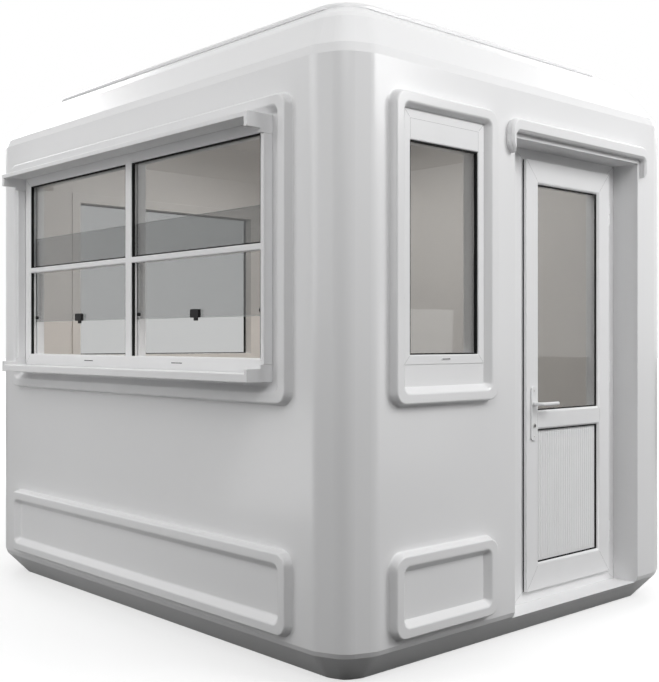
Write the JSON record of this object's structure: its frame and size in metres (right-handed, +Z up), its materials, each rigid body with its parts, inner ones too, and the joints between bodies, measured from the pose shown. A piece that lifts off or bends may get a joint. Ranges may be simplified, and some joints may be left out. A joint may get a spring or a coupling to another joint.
{
  "type": "fibreglass cabin",
  "caption": "White moulded fibreglass kiosk cabin with a hooded serving window, a narrow window, a back window and a hinged glazed door with a lever handle.",
  "frame": {"origin": "on the ground under the middle of the plan", "axes": "+Z up, -Y out of the door wall, -X out of the serving window, +Y along the long side"},
  "size_m": [2.307, 2.766, 2.465],
  "materials": {
    "grp_shell": "glossy white gelcoat outside, beige lining inside",
    "grp_base": "glossy gelcoat base",
    "grp_roof": "glossy white gelcoat roof",
    "floor_vinyl": "grey sheet vinyl on board",
    "pvc_white": "satin white window profile",
    "pvc_panel": "satin white ribbed panel",
    "hood_white": "satin white hood and shelf",
    "rubber_black": "black glazing seal",
    "plastic_black": "black latches and knobs",
    "clear_glass": "lightly tinted glass",
    "handle_white": "white lacquered aluminium",
    "hinge_white": "white lacquered steel",
    "cylinder_steel": "nickel plated"
  },
  "bodies": {
    "cabin": {"base_tray": "grp_base", "floor_deck": "floor_vinyl", "threshold": "pvc_white", "corner_front_left": "grp_shell", "corner_front_right": "grp_shell", "corner_back_left": "grp_shell", "corner_back_right": "grp_shell", "left_wall": "grp_shell", "right_wall": "grp_shell", "back_wall": "grp_shell", "front_wall": "grp_shell", "front_pier": "grp_shell", "door_head": "grp_shell", "roof_shell": "grp_roof", "roof_plateau": "grp_roof", "door_canopy": "grp_shell", "reveal_left": "grp_shell", "reveal_right": "grp_shell", "reveal_head": "grp_shell", "door_infill": "pvc_white", "door_frame": "pvc_white", "hinges_fixed": "hinge_white", "serving_frame": "pvc_white", "serving_upper_glass": "clear_glass", "serving_gaskets": "rubber_black", "sash_glass_near": "clear_glass", "sash_glass_far": "clear_glass", "sash_latches": "plastic_black", "sash_knobs": "plastic_black", "serving_hood": "hood_white", "serving_shelf": "hood_white", "serving_cheek_near": "hood_white", "serving_cheek_far": "hood_white", "narrow_window_frame": "pvc_white", "narrow_window_glass": "clear_glass", "narrow_window_gasket": "rubber_black", "back_window_frame": "pvc_white", "back_window_glass": "clear_glass", "back_window_gasket": "rubber_black"},
    "door_leaf": {"leaf_frame": "pvc_white", "door_glass": "clear_glass", "door_ribbed_panel": "pvc_panel", "door_gaskets": "rubber_black", "hinges_moving": "hinge_white", "backplate_outer": "handle_white", "backplate_inner": "handle_white", "lock_cylinder": "cylinder_steel"},
    "door_handle": {"lever_outer": "handle_white", "lever_inner": "handle_white", "lever_spindle": "cylinder_steel"}
  },
  "joints": [
    {"name": "door_hinge", "type": "hinge", "parent": "cabin", "child": "door_leaf", "pos_m": [0.71, -1.235, 1.057], "axis": [0, 0, 1], "range_deg": [0, 95]},
    {"name": "handle_turn", "type": "hinge", "parent": "door_leaf", "child": "door_handle", "pos_m": [0.121, -1.2, 0.937], "axis": [0, 1, 0], "range_deg": [0, 40], "stiffness_Nm_per_rad": 1.5}
  ]
}
